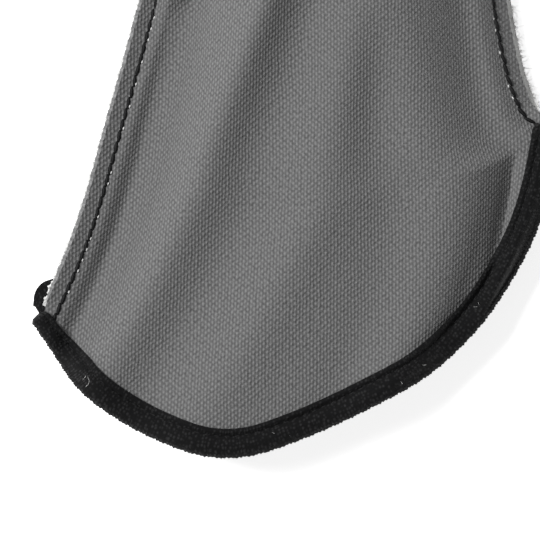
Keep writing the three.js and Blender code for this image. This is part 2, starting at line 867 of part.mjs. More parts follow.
function backHemLine() {
  const line = backStitchLine();
  const rawCorner = besideStitches(line, flangeWidths(line, true, true))[0];
  const thumbEnd = rightEdge(backCuff).slice(1, backCells.hemRows + 1);
  return onFace(backFace, back, [rawCorner, ...backCuff[0], ...thumbEnd]);
}

function palmHemLine() {
  return onFace(cuffPalmFace, cuffPalm, cuffPalmGrid(cuffPalmCells)[0]);
}

function bindingBody() {
  const overBack = toManifold(hemBand(backFace, backHemLine(), { start: bindingWrap, end: tapeReach }));
  const overPalm = toManifold(hemBand(cuffPalmFace, palmHemLine(), { start: lobeWrap, end: tapeReach }));
  const bound = [
    [backFace, knitWall],
    [cuffPalmFace, knitWall],
    [littleLining, liningWall],
    [thumbLining, liningWall],
  ];
  return bound.reduce(
    (body, [face, wall]) => body.subtract(toManifold(spaceOf(face, wall))),
    overBack.add(overPalm),
  );
}

// Each piece's name, its solid, and how it looks in a plain view

const pieces = [
  {
    name: "back_panel",
    geometry: geometryOf(clothWall(backFace, knitWall)),
    look: { color: 0x74767a, roughness: 0.95 },
  },
  {
    name: "palm_panel",
    geometry: geometryOf(clothWall(palmFace, suedeWall, true)),
    look: { color: 0x2b2b2d, roughness: 0.9 },
  },
  {
    name: "cuff_palm_panel",
    geometry: geometryOf(clothWall(cuffPalmFace, knitWall, true)),
    look: { color: 0x74767a, roughness: 0.95 },
  },
  {
    name: "hem_binding",
    geometry: fromManifold(bindingBody()),
    look: { color: 0x18181a, roughness: 0.9 },
  },
  {
    name: "seam_lining_little_side",
    geometry: geometryOf(clothWall(littleLining, liningWall)),
    look: { color: 0xe8e8e6, roughness: 1 },
  },
  {
    name: "seam_lining_thumb_side",
    geometry: geometryOf(clothWall(thumbLining, liningWall)),
    look: { color: 0xe8e8e6, roughness: 1 },
  },
];

const glove = new THREE.Group();
for (const piece of pieces) {
  const material = new THREE.MeshStandardMaterial({ metalness: 0, ...piece.look });
  const mesh = new THREE.Mesh(piece.geometry, material);
  mesh.name = piece.name;
  glove.add(mesh);
}

// The origin is on the surface under the middle of the whole glove
const extent = new THREE.Box3().setFromObject(glove);
const middle = extent.getCenter(point(0, 0));
glove.position.set(-middle.x, -middle.y, -extent.min.z);

export default glove;
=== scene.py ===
import math

import bpy
import numpy as np
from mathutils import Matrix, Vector
from mathutils.bvhtree import BVHTree


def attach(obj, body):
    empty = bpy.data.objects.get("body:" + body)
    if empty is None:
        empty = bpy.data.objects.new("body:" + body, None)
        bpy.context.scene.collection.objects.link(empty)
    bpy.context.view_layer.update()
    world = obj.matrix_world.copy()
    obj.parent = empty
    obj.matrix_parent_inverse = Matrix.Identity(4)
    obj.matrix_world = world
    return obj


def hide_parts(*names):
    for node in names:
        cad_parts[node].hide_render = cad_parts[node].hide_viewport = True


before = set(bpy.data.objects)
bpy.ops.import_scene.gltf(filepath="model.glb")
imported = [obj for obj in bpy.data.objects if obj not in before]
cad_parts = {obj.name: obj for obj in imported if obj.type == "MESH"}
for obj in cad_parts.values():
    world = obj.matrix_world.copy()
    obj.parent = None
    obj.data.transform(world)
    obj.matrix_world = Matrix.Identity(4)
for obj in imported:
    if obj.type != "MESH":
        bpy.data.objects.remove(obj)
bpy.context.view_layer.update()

# Back of the glove: one panel of matt grey mesh knit, from the bound hem of the cuff to the
# fingertips. It is gathered at the wrist, so soft folds fan down the cuff, and it is sewn to the
# palm side with outside seams whose raw edges make a flat flange all round.

# Millimetres from the middle of the wrist; sheet_middle brings them to the solids' own middle
mm = 0.001
knit_wall, lay_gap, flange_width, crotch_slit = 1.6, 0.3, 3.0, 1.0
seam_height, stitch_pitch, thread_rise = 9.0, 2.5, 0.05
finger_rise, knuckle_rise, hand_rise, wrist_rise = 9.5, 12.0, 16.0, 14.5
cuff_rise, hem_rise, thumb_rise, fold_height, fold_run_out = 11.0, 8.5, 10.0, 3.4, 26.0
wrist_width, tongue_drop = 69.0, 43.7
little_seam_run, little_seam_flare = 84.2, 26.6
thumb_seam_run, thumb_seam_flare = 39.5, 15.6
hand_length, crotch_blend, crotch_dip, tip_length = 98.0, 26.0, 1.5, 11.0
thumb_root_start, thumb_root_end, thumb_width, thumb_length = 16.0, 58.0, 23.0, 55.0
thumb_lean, web_slant = math.radians(38), math.radians(45)
thumb_root_spread, thumb_bulge, hand_side_bulge = 26.0, 2.5, 3.0
crotch_width = 2 * flange_width + crotch_slit
back_level = seam_height + lay_gap / 2 + knit_wall
sheet_middle = np.array([-17.958, -36.826, 0.0])

# Shares of each seam's run and flare, and of the hem's chord and drop
little_seam_shares = [(0, 0), (0.13, 0.1), (0.44, 0.37), (0.75, 0.66), (1, 1)]
thumb_seam_shares = [(0, 0), (0.27, 0.11), (0.52, 0.22), (0.77, 0.38), (0.94, 0.6), (1, 1)]
hem_shares = [(0, 0), (0.067, 0.31), (0.147, 0.55), (0.229, 0.74), (0.31, 0.89), (0.39, 0.975),
              (0.5, 1), (0.635, 0.98), (0.744, 0.935), (0.825, 0.83), (0.88, 0.71), (0.934, 0.53),
              (0.961, 0.39), (0.983, 0.21), (1, 0)]
hem_side_from = 0.77
# Across at the wrist, half way and at the hem, height, breadth
folds = [(0.13, 0.08, 0.03, -1.5, 0.07), (0.36, 0.2, 0.13, 0.9, 0.06),
         (0.5, 0.33, 0.24, -0.75, 0.08), (0.68, 0.46, 0.3, 0.6, 0.08),
         (0.62, 0.62, 0.58, -0.35, 0.07), (0.72, 0.76, 0.72, 0.55, 0.08),
         (0.89, 0.88, 0.8, -0.6, 0.07), (0.96, 0.96, 0.94, 0.4, 0.04)]
fold_fade, hand_full_at, cuff_full_at, arch_flat_at = 0.06, 0.4, 0.35, 0.3
# How steep the crown's sides are, and how full it is, at the wrist, the finger roots and the hem
wrist_arch, root_arch, hem_arch = (2, 0.7), (2.4, 0.55), (2.6, 1.1)
# Beside the hem's thumb end: the lip's share of the breadth and its lift, and the depth of the
# crease inside it, and how far that reaches inwards and outwards
lip_share, hem_lift, crease_depth, crease_reach = 0.108, 2.2, 2.2, (0.027, 0.01)
# How both set in past the thumb's corner, in shares of the hem's thumb end, and fade at the hem
lip_ease, crease_start, crease_ease, hem_fade = 0.3, -0.15, 0.45, 0.3
gather_height, gather_pitch, gather_reach, wrist_dip, dip_reach = 0.5, 5.6, 6.0, 0.6, 3.0
# A curl of cloth below the wrist, towards the little finger
curl_spot, curl_lean, curl_height = (-31.5, -8.5), math.radians(25), 1.7
curl_length, curl_breadth, curl_start, curl_ease, seam_ease = 8.0, 2.8, -38.0, 4, 5
# Width, length, splay in degrees, and how far up the hand each side of the root lies
finger_sizes = [(18.0, 62.0, -8, 0.85, 0.94), (19.5, 78.0, -3, 0.94, 0.99),
                (20.5, 84.0, 1, 0.99, 1), (20.0, 74.0, 4, 1, 0.93)]
back_cells = dict(finger=24, crotch=8, finger_rows=48, tip_rows=14, wrist_rows=12, web=6,
                  thumb=36, root_rows=24, cuff_rows=132)


def mix(a, b, share):
    return a + (b - a) * share


def smooth(share):
    s = np.clip(share, 0, 1)
    return s * s * (3 - 2 * s)


def line_through(stations):
    """A smooth seam line through its stations, finely stepped"""
    p = np.array(stations, float)
    p = np.vstack([2 * p[0] - p[1], p, 2 * p[-1] - p[-2]])
    t = np.linspace(0, 1, 81)[1:, None]
    line = [p[1:2]]
    for a, b, c, d in zip(p, p[1:], p[2:], p[3:]):
        before, here, after = [max(np.linalg.norm(e), 1e-4) ** 0.5 for e in (b - a, c - b, d - c)]
        leave = ((b - a) / before - (c - a) / (before + here) + (c - b) / here) * here
        arrive = ((c - b) / here - (d - b) / (here + after) + (d - c) / after) * here
        line.append(b + leave * t + (3 * (c - b) - 2 * leave - arrive) * t ** 2
                    + (2 * (b - c) + leave + arrive) * t ** 3)
    return np.vstack(line)


def run_of(line):
    return np.concatenate([[0], np.cumsum(np.linalg.norm(np.diff(line, axis=0), axis=1))])


def along(line, shares):
    """Points at these shares of a line's length"""
    run = run_of(line)
    at = np.asarray(shares) * run[-1]
    return np.stack([np.interp(at, run, axis) for axis in line.T], axis=-1)


def stretch_between(a, b, cells):
    return mix(np.asarray(a, float), np.asarray(b, float), np.linspace(0, 1, cells + 1)[:, None])


def patch_between(left, right, bottom, top):
    """Rows of points from the bottom edge to the top edge, between the two side edges"""
    t = np.linspace(0, 1, len(left))[:, None, None]
    u = np.linspace(0, 1, len(bottom))[None, :, None]
    corners = mix(mix(left[0], right[0], u), mix(left[-1], right[-1], u), t)
    return mix(bottom[None], top[None], t) + mix(left[:, None], right[:, None], u) - corners


def arch(share, power, fullness):
    return np.maximum(0, 1 - np.abs(2 * share - 1) ** power) ** fullness


def arch_between(share, first, last, eased):
    return arch(share, mix(first[0], last[0], eased), mix(first[1], last[1], eased))


def crown_through(t, start, full, end, full_at):
    """The height of the crown along the glove, easing through three heights"""
    after = mix(full, end, smooth((t - full_at) / (1 - full_at)))
    return np.where(t < full_at, mix(start, full, smooth(t / full_at)), after)


def unit(ways):
    return ways / np.maximum(np.linalg.norm(ways, axis=-1, keepdims=True), 1e-9)


def with_rise(plan, rise):
    return np.concatenate([plan, np.broadcast_to(rise, plan.shape[:-1])[..., None]], axis=-1)


wrist_left, wrist_right = np.array([-wrist_width / 2, 0]), np.array([wrist_width / 2, 0])
little_corner = wrist_left + [-little_seam_flare, -little_seam_run]
thumb_corner = wrist_right + [thumb_seam_flare, -thumb_seam_run]
little_seam = line_through([wrist_left + [-little_seam_flare * f, -little_seam_run * r]
                            for r, f in little_seam_shares])
thumb_seam = line_through([wrist_right + [thumb_seam_flare * f, -thumb_seam_run * r]
                           for r, f in thumb_seam_shares])
back_hem = line_through([mix(little_corner, thumb_corner, a) - [0, tongue_drop * d]
                         for a, d in hem_shares])

fingers = []
crotches = len(finger_sizes) - 1
finger_x = -(sum(size[0] for size in finger_sizes) + crotches * crotch_width) / 2
for width, length, splay, outer, inner in finger_sizes:
    fingers.append(dict(width=width, length=length, splay=math.radians(splay),
                        left=np.array([finger_x, hand_length * outer]),
                        right=np.array([finger_x + width, hand_length * inner])))
    finger_x += width + crotch_width


def hand_side(wrist_point, root_point, side):
    middle = (wrist_point + root_point) / 2 + [side * hand_side_bulge, 0]
    return line_through([wrist_point, middle, root_point])


root_left, root_right = fingers[0]["left"], fingers[-1]["right"]
little_hand_side = hand_side(wrist_left, root_left, -1)
thumb_hand_side = hand_side(wrist_right, root_right, 1)
web_top = along(thumb_hand_side, [thumb_root_end / root_right[1]])[0]
web_bottom = web_top + crotch_width * np.array([math.cos(web_slant), -math.sin(web_slant)])
thumb_root = along(thumb_hand_side, [thumb_root_start / root_right[1]])[0]


def half_turn(cells):
    return (1 - np.cos(np.linspace(0, np.pi, cells + 1))) / 2


def root_line(cells):
    """The finger roots and crotches, and how much of a finger's round each point takes"""
    points, rounds = [], []
    for i, finger in enumerate(fingers):
        share = half_turn(cells["finger"])[:, None]
        points.append(mix(finger["left"], finger["right"], share))
        rounds.append(np.sin(np.linspace(0, np.pi, cells["finger"] + 1)))
        if i < crotches:
            start, end = finger["right"], fingers[i + 1]["left"]
            middle = (start + end) / 2 - [0, crotch_dip]
            half = cells["crotch"] // 2
            points += [stretch_between(start, middle, half)[1:],
                       stretch_between(middle, end, half)[1:-1]]
            rounds.append(np.zeros(cells["crotch"] - 1))
    return np.vstack(points), np.concatenate(rounds)


def hand_grid(cells, wrist_y):
    """The hand from the wrist to the finger roots, each point with its rise over the seam"""
    top, root_round = root_line(cells)
    end = root_right[1]
    below = along(thumb_hand_side, np.linspace(0, thumb_root_start / end, cells["wrist_rows"] + 1))
    root = stretch_between(thumb_root, web_bottom, cells["thumb"])
    web = stretch_between(web_bottom, web_top, cells["web"])
    above = along(thumb_hand_side, np.linspace(thumb_root_end / end, 1, cells["root_rows"] + 1))
    right = np.vstack([below, root[1:], web[1:], above[1:]])
    left = along(little_hand_side, np.linspace(0, 1, len(right)))
    left[0, 1] = right[0, 1] = wrist_y
    plan = patch_between(left, right, stretch_between(left[0], right[0], len(top) - 1), top)
    t = np.linspace(0, 1, len(right))[:, None]
    u = np.linspace(0, 1, len(top))[None]
    near_roots = smooth(1 - (1 - t) * hand_length / crotch_blend)
    crown = crown_through(t, wrist_rise, hand_rise, knuckle_rise, hand_full_at)
    crown_round = arch_between(u, wrist_arch, root_arch, smooth(t))
    rise = crown * mix(crown_round, root_round[None], near_roots)
    past_wrist = (np.arange(len(right)) - cells["wrist_rows"])[:, None]
    root_share = np.clip(past_wrist / cells["thumb"], 0, 1)
    reach = 1 - np.linalg.norm(plan - right[:, None], axis=-1) / thumb_root_spread
    swelling = thumb_rise * np.sin(np.pi * root_share) * smooth(reach)
    return with_rise(plan, np.cbrt(rise ** 3 + swelling ** 3))


def digit_grid(root_row, axis, width, length, rise, rows, tip_rows):
    """A finger or thumb from its root row to its round tip"""
    across = np.array([axis[1], -axis[0]])
    shoulder = (root_row[0, :2] + root_row[-1, :2]) / 2 + axis * (length - tip_length)
    cells = len(root_row) - 1
    side = (half_turn(cells) - 0.5) * width
    height = rise * np.sin(np.linspace(0, np.pi, cells + 1))
    end = np.column_stack([shoulder + side[:, None] * across, height])
    body = mix(root_row[None], end[None], np.linspace(0, 1, rows + 1)[:, None, None])
    tip = []
    for angle in np.linspace(0, np.pi / 2, tip_rows + 1)[1:]:
        centre = shoulder + axis * tip_length * math.sin(angle)
        tip.append(np.column_stack([centre + side[:, None] * math.cos(angle) * across,
                                    height * math.cos(angle)]))
    return np.concatenate([body, np.array(tip)])


def finger_grids(hand, cells):
    grids = []
    for i, finger in enumerate(fingers):
        start = i * (cells["finger"] + cells["crotch"])
        axis = np.array([math.sin(finger["splay"]), math.cos(finger["splay"])])
        root_row = hand[-1, start:start + cells["finger"] + 1]
        grids.append(digit_grid(root_row, axis, finger["width"], finger["length"], finger_rise,
                                cells["finger_rows"], cells["tip_rows"]))
    return grids


def thumb_grid(hand, cells):
    last = cells["wrist_rows"] + cells["thumb"]
    root = hand[last - cells["thumb"]:last + 1, -1][::-1]
    lean = np.array([math.sin(thumb_lean), math.cos(thumb_lean)])
    middle = (thumb_root + web_bottom) / 2
    tip = web_bottom + lean * thumb_length + np.array([lean[1], -lean[0]]) * thumb_width / 2
    axis = unit(tip - middle)
    grid = digit_grid(root, axis, thumb_width, np.linalg.norm(tip - middle), thumb_rise,
                      cells["finger_rows"], cells["tip_rows"])
    bulge = thumb_bulge * np.sin(np.pi * np.clip(np.arange(len(grid)) / cells["finger_rows"], 0, 1))
    outer = smooth(np.linspace(0, 1, grid.shape[1]) * 2 - 1)
    grid[..., :2] += (bulge[:, None] * outer)[..., None] * np.array([axis[1], -axis[0]])
    return grid


def fold_rise(down, across):
    edge = smooth(np.minimum(across, 1 - across) / fold_fade)
    rise = 0
    for wrist, middle, hem, height, breadth in folds:
        above, below = wrist * (1 - down) * (1 - 2 * down), hem * down * (2 * down - 1)
        centre = above + middle * 4 * down * (1 - down) + below
        rise = rise + height * np.exp(-((across - centre) / breadth) ** 2)
    return fold_height * edge * rise


def gathers(grid):
    """Small gathers where the panel is drawn in at the wrist, on both sides of it, and the curl"""
    x, y = grid[..., 0], grid[..., 1]
    edge = smooth((wrist_width / 2 - np.abs(x)) / seam_ease)
    ripples = gather_height * np.cos(2 * np.pi * x / gather_pitch + 0.7 * np.sin(x / 4))
    drawn_in = edge * (ripples * np.exp(-(y / gather_reach) ** 2)
                       - wrist_dip * np.exp(-(y / dip_reach) ** 2))
    from_x, from_y = x - curl_spot[0], y - curl_spot[1]
    lengthwise = from_x * math.cos(curl_lean) + from_y * math.sin(curl_lean)
    crosswise = from_y * math.cos(curl_lean) - from_x * math.sin(curl_lean)
    curl = curl_height * np.exp(-(crosswise / curl_breadth) ** 2 - (lengthwise / curl_length) ** 2)
    return drawn_in + curl * smooth((x - curl_start) / curl_ease)


def cuff_grid(cells):
    """The cuff from its hem to the wrist; the hem's thumb end is part of its right edge"""
    rows = cells["cuff_rows"]
    columns = len(fingers) * cells["finger"] + crotches * cells["crotch"]
    left = along(little_seam, np.linspace(1, 0, rows + 1))
    hem_end = along(back_hem, np.linspace(hem_side_from, 1, rows // 2 + 1))
    right = np.vstack([hem_end, along(thumb_seam, np.linspace(1, 0, rows // 2 + 1))[1:]])
    bottom = along(back_hem, np.linspace(0, hem_side_from, columns + 1))
    plan = patch_between(left, right, bottom, stretch_between(wrist_left, wrist_right, columns))
    down = np.linspace(1, 0, rows + 1)[:, None]
    across = np.linspace(0, 1, columns + 1)[None]
    crown = crown_through(down, wrist_rise, cuff_rise, hem_rise, cuff_full_at)
    crown = crown * arch_between(across, wrist_arch, hem_arch, smooth(down / arch_flat_at))
    past_corner, fades = 2 * down - 1, smooth((1 - down) / hem_fade)
    past_crease = (1 - across) - lip_share
    crease = crease_depth * np.exp(-(past_crease / np.where(past_crease > 0, *crease_reach)) ** 2)
    lip = hem_lift * np.clip(1 - (1 - across) / lip_share, 0, 1)
    lip = lip * smooth(past_corner / lip_ease)
    crease = crease * smooth((past_corner - crease_start) / crease_ease)
    return with_rise(plan, crown + fold_rise(down, across) + fades * (lip - crease))


def left_of(a, b):
    way = (b - a)[..., :2]
    return unit(np.stack([-way[..., 1], way[..., 0]], axis=-1))


def beside(line, widths, at_wrist=(), longest_mitre=1.6, clear_share=0.93, slack=0.02):
    """Points beside a stitch line, to its left as it runs, with no loops at inner corners"""
    step = left_of(line[:-1], line[1:])
    normal = unit(np.vstack([step[:1], step[:-1] + step[1:], step[-1:]]))
    lead = np.vstack([step, step[-1:]])
    stretch = np.minimum(longest_mitre, 1 / np.maximum((normal * lead).sum(axis=1), 0.5))
    places = line.copy()
    places[:, :2] += normal * (stretch * widths)[:, None]
    for i in at_wrist:
        places[i, 1] = line[i, 1]
    near = np.array([np.min(np.linalg.norm(line[:, :2] - spot[:2], axis=1)) for spot in places])
    kept = near > np.abs(widths) * clear_share - slack
    kept[[0, -1]] = True
    index = np.arange(len(line))
    for axis in range(2):
        places[:, axis] = np.interp(index, index[kept], places[kept, axis])
    return places


def round_digit(grid):
    return np.vstack([grid[:, 0], grid[::-1, -1][1:]])


def hand_stitches(hand, digits, thumb, cells):
    """The stitch line round the hand, from the little finger's side of the wrist to the thumb's"""
    line = [hand[:-1, 0]]
    for i, digit in enumerate(digits):
        line.append(round_digit(digit))
        if i < crotches:
            start = i * (cells["finger"] + cells["crotch"]) + cells["finger"]
            line.append(hand[-1, start + 1:start + cells["crotch"]])
    web_row = cells["wrist_rows"] + cells["thumb"]
    line += [hand[web_row + 1:-1, -1][::-1], round_digit(thumb)]
    return np.vstack([*line, hand[:cells["wrist_rows"], -1][::-1]])


def at_level(grid, level):
    lifted = grid.copy()
    lifted[..., 2] += level
    return lifted


# How far the flanges stand off level for each millimetre of their width, how far from the corners
# and the wrist they begin to, and what narrows them: a trimmed corner and a taper at the thumb's
little_tilt, thumb_tilt = 0.5, -0.9
tilt_from_corner, tilt_ease, tilt_from_wrist = 3, 8, 12
corner_trim, trim_run, taper_run, flange_steps, back_fray = 0.4, 7.3, 6.5, 4, 0.05
flange_wave, wave_turn = 0.12, 0.9
# A cut edge strays in waves of three lengths that don't repeat together: share, turn and start
fray_waves = [(0.43, 1.9, 0), (0.34, 4.7, 1), (0.23, 9.1, 2)]


def free_of_tape(line):
    """How free a flange is to stand off level: not at the wrist, and not at the corners"""
    to_corner = np.minimum(*[np.linalg.norm(line[:, :2] - corner, axis=1)
                             for corner in (little_corner, thumb_corner)])
    off_corner = smooth((to_corner - tilt_from_corner) / tilt_ease)
    return smooth(-line[:, 1] / tilt_from_wrist) * off_corner


def tilted(grid, line, rise):
    """The cuff's flanges stand a little off level: the little finger's side up, the thumb's down"""
    out = np.linalg.norm(grid[..., :2] - line[None, :, :2], axis=-1)
    return at_level(grid, rise * out * free_of_tape(line))


def ragged(run, size):
    return size * sum(share * np.sin(run * turn + start) for share, turn, start in fray_waves)


def trimmed(run):
    """A flange's width, narrower at the little finger's corner"""
    return flange_width * (1 - corner_trim * smooth(1 - run / trim_run))


def tapered(run):
    return smooth((run[-1] - run) / taper_run)


def flange_grid(line, widths, at_wrist=()):
    edge = beside(line, widths, at_wrist)
    return mix(line[None], edge[None], np.linspace(0, 1, flange_steps)[:, None, None])


def from_middle(steps):
    """How far each point of a row lies from the row's middle, step by step"""
    summed = np.concatenate([np.zeros((len(steps), 1)), np.cumsum(steps, axis=1)], axis=1)
    return summed - summed[:, summed.shape[1] // 2][:, None]


def cloth_uv(grid):
    """Where a panel's knit lies before it is bent: its plan place, let out across its slopes"""
    step = np.diff(grid, axis=1)
    full = np.linalg.norm(step, axis=-1)
    flat = np.maximum(np.linalg.norm(step[..., :2], axis=-1), 1e-9)
    extra = from_middle((full - flat) * step[..., 0] / flat)
    return np.stack([grid[..., 0] + extra, grid[..., 1]], axis=-1)


def digit_uv(grid):
    """A finger's knit runs with the finger: round its section, and from its root to its tip"""
    round_it = from_middle(np.linalg.norm(np.diff(grid, axis=1), axis=-1))
    lengthwise = run_of(grid[:, grid.shape[1] // 2])[:, None]
    lengthwise = np.broadcast_to(lengthwise, round_it.shape)
    return np.stack([round_it, lengthwise], axis=-1) + grid[0, 0, :2]


def cloth_piece(name, places, weave):
    """A plain grid, moved point by point to its place on the glove"""
    rows, columns = places.shape[0] - 1, places.shape[1] - 1
    bpy.ops.object.select_all(action="DESELECT")
    bpy.ops.mesh.primitive_grid_add(x_subdivisions=columns, y_subdivisions=rows, size=1)
    piece = bpy.context.object
    piece.name = name
    mesh = piece.data
    co = np.empty(len(mesh.vertices) * 3)
    mesh.vertices.foreach_get("co", co)
    co = co.reshape(-1, 3)
    j = np.rint((co[:, 0] + 0.5) * columns).astype(int)
    i = np.rint((co[:, 1] + 0.5) * rows).astype(int)
    mesh.vertices.foreach_set("co", ((places[i, j] + sheet_middle) * mm).ravel())
    corner = np.empty(len(mesh.loops), dtype=np.int32)
    mesh.loops.foreach_get("vertex_index", corner)
    mesh.uv_layers[0].data.foreach_set("uv", weave[i, j][corner].ravel())
    mesh.update()
    return piece


def sewn(name, parts, wall, up=None):
    """Joins grids that share an edge, and gives the cloth its thickness on the inside"""
    bpy.ops.object.select_all(action="DESELECT")
    for part in parts:
        part.select_set(True)
    piece = parts[0]
    bpy.context.view_layer.objects.active = piece
    bpy.ops.object.join()
    piece.name = piece.data.name = name
    bpy.ops.object.mode_set(mode="EDIT")
    bpy.ops.mesh.select_all(action="SELECT")
    bpy.ops.mesh.remove_doubles(threshold=2e-6)
    bpy.ops.mesh.dissolve_degenerate(threshold=1e-6)
    bpy.ops.mesh.select_all(action="SELECT")
    if up is not None:
        bpy.ops.mesh.normals_make_consistent(inside=False)
    bpy.ops.object.mode_set(mode="OBJECT")
    level = sum(face.normal.z * face.area for face in piece.data.polygons)
    if up is not None and (level > 0) != up:
        piece.data.flip_normals()
    thickness = piece.modifiers.new("wall", "SOLIDIFY")
    thickness.thickness = wall * mm
    thickness.offset = -1
    bpy.ops.object.modifier_apply(modifier="wall")
    bpy.ops.object.shade_smooth_by_angle(angle=math.radians(50))
    return piece


def puckered(grid, line, depth=0.4, reach=1.2, batch=4000):
    """The cloth beside a stitch line is drawn down a little at each stitch"""
    run = run_of(line)
    flat = grid[..., :2].reshape(-1, 2)
    near = np.empty(len(flat))
    at = np.empty(len(flat))
    for start in range(0, len(flat), batch):
        away = np.linalg.norm(flat[start:start + batch, None] - line[None, :, :2], axis=-1)
        nearest = away.argmin(axis=1)
        near[start:start + batch] = away[np.arange(len(away)), nearest]
        at[start:start + batch] = run[nearest]
    drawn = depth * (0.5 - 0.5 * np.cos(2 * np.pi * at / stitch_pitch))
    drawn = drawn * np.exp(-(near / reach) ** 2) * smooth(near / (reach / 2))
    sunk = grid.copy()
    sunk[..., 2] -= drawn.reshape(grid.shape[:2])
    return sunk


back_hand = hand_grid(back_cells, 0)
back_across = np.linspace(0, 1, back_hand.shape[1])[None]
back_hand[..., 2] += fold_rise(0, back_across) * (1 - smooth(back_hand[..., 1] / fold_run_out))
back_hand[..., 2] += gathers(back_hand)
back_fingers = finger_grids(back_hand, back_cells)
back_thumb = thumb_grid(back_hand, back_cells)
back_cuff = cuff_grid(back_cells)
back_cuff[..., 2] += gathers(back_cuff)
back_cuff[-1] = back_hand[0]
# The cuff's right edge is the hem's thumb end up to this row, and the thumb's seam from there
corner_row = back_cells["cuff_rows"] // 2
hand_line = hand_stitches(back_hand, back_fingers, back_thumb, back_cells)
back_line = np.vstack([back_cuff[:-1, 0], hand_line, back_cuff[-corner_row - 1:, -1][::-1][1:]])
back_run = run_of(back_line)
back_widths = trimmed(back_run) * tapered(back_run) * (1 + ragged(back_run, back_fray))
back_flange = flange_grid(back_line, back_widths)
flange_out = np.linspace(0, 1, flange_steps)[:, None]
back_flange[..., 2] += flange_out * flange_wave * np.sin(back_run * wave_turn)
back_flange = tilted(back_flange, back_line, np.where(back_line[:, 0] < 0, little_tilt, thumb_tilt))
back_cuff, back_hand, back_thumb, *back_fingers = [
    puckered(grid, back_line) for grid in (back_cuff, back_hand, back_thumb, *back_fingers)]

back_parts = [cloth_piece("cuff back", at_level(back_cuff, back_level), cloth_uv(back_cuff)),
              cloth_piece("hand back", at_level(back_hand, back_level), cloth_uv(back_hand)),
              cloth_piece("back flange", at_level(back_flange, back_level), back_flange[..., :2])]
for number, digit in enumerate([*back_fingers, back_thumb]):
    placed = at_level(digit, back_level)
    back_parts.append(cloth_piece(f"back digit {number}", placed, digit_uv(digit)))
back = sewn("back_of_glove", back_parts, knit_wall, up=True)


def set_sockets(node, numbers):
    for socket, number in numbers.items():
        node.inputs[socket].default_value = number
    return node


def shader(name, numbers):
    """A new finish, with the numbers on its shader's own sockets"""
    material = bpy.data.materials.new(name)
    material.use_nodes = True
    set_sockets(material.node_tree.nodes["Principled BSDF"], numbers)
    return material, material.node_tree


def weave_place(tree):
    return tree.nodes.new("ShaderNodeUVMap").outputs[0]


def object_place(tree):
    return tree.nodes.new("ShaderNodeTexCoord").outputs["Object"]


def pattern(tree, kind, place, numbers):
    node = set_sockets(tree.nodes.new("ShaderNodeTex" + kind), numbers)
    tree.links.new(place, node.inputs["Vector"])
    return node


def blend(tree, operation, *sources):
    """A step of arithmetic on patterns and plain numbers"""
    node = tree.nodes.new("ShaderNodeMath")
    node.operation = operation
    for socket, source in zip(node.inputs, sources):
        if isinstance(source, float):
            socket.default_value = source
        else:
            tree.links.new(source, socket)
    return node.outputs[0]


def wave(tree, source, period):
    return blend(tree, "COSINE", blend(tree, "MULTIPLY", source, 2 * math.pi / period))


def spread(tree, source, low, high, easing="SMOOTHSTEP"):
    """A pattern's value, stretched so that low gives 0 and high gives 1"""
    tone = tree.nodes.new("ShaderNodeMapRange")
    tone.interpolation_type = easing
    set_sockets(tone, {"From Min": low, "From Max": high})
    tree.links.new(source, tone.inputs["Value"])
    return tone.outputs[0]


def colour_by(tree, share, dark, light):
    """The finish's colour goes from dark to light with a pattern"""
    colour = tree.nodes.new("ShaderNodeMix")
    colour.data_type = "RGBA"
    set_sockets(colour, {"A": (*dark, 1), "B": (*light, 1)})
    tree.links.new(share, colour.inputs["Factor"])
    tree.links.new(colour.outputs["Result"], tree.nodes["Principled BSDF"].inputs["Base Color"])


def relief_by(tree, height, strength, depth):
    """The finish's fine relief follows a pattern"""
    bump = set_sockets(tree.nodes.new("ShaderNodeBump"), {"Strength": strength, "Distance": depth})
    tree.links.new(height, bump.inputs["Height"])
    tree.links.new(bump.outputs[0], tree.nodes["Principled BSDF"].inputs["Normal"])


def knit_finish(name, dark, light, wale=0.75, course=1.16):
    """Grey mesh knit: loops in upright wales, each wale half a course off its neighbours"""
    material, tree = shader(name, {"Roughness": 0.92, "Sheen Weight": 0.15,
                                   "Specular IOR Level": 0.25})
    weave = weave_place(tree)
    wander = pattern(tree, "Noise", weave, {"Scale": 0.25, "Detail": 2})
    shift = tree.nodes.new("ShaderNodeVectorMath")
    shift.operation = "MULTIPLY_ADD"
    shift.inputs[1].default_value = (0.5, 0.5, 0)
    tree.links.new(wander.outputs["Color"], shift.inputs[0])
    tree.links.new(weave, shift.inputs[2])
    split = tree.nodes.new("ShaderNodeSeparateXYZ")
    tree.links.new(shift.outputs[0], split.inputs[0])
    across, lengthwise = split.outputs["X"], split.outputs["Y"]
    loops = blend(tree, "MULTIPLY", wave(tree, across, 2 * wale), wave(tree, lengthwise, course))
    ribs = wave(tree, across, wale)
    yarn = pattern(tree, "Noise", weave, {"Scale": 1.3, "Detail": 4, "Roughness": 0.7})
    rough_yarn = blend(tree, "MULTIPLY_ADD", yarn.outputs["Fac"], 3.0, -1.5)
    stitches = blend(tree, "MULTIPLY_ADD", ribs, 0.38, blend(tree, "MULTIPLY", loops, 0.58))
    knit_height = blend(tree, "ADD", stitches, rough_yarn)
    colour_by(tree, spread(tree, knit_height, -1.4, 1.5), dark, light)
    relief_by(tree, knit_height, 0.6, 0.0003)
    return material


grey_knit = knit_finish("grey mesh knit", (0.075, 0.075, 0.0755), (0.27, 0.27, 0.271))
back.data.materials.append(grey_knit)
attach(back, "root")
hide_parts("back_panel")


def spindle(length, width, height):
    """One stitch: a short spindle of thread along X"""
    bpy.ops.mesh.primitive_uv_sphere_add(segments=6, ring_count=5, radius=0.5)
    shape = bpy.context.object
    points = np.array([v.co[:] for v in shape.data.vertices])[:, [2, 0, 1]]
    faces = [tuple(face.vertices) for face in shape.data.polygons]
    bpy.data.objects.remove(shape, do_unlink=True)
    return points * [length, width, height], faces


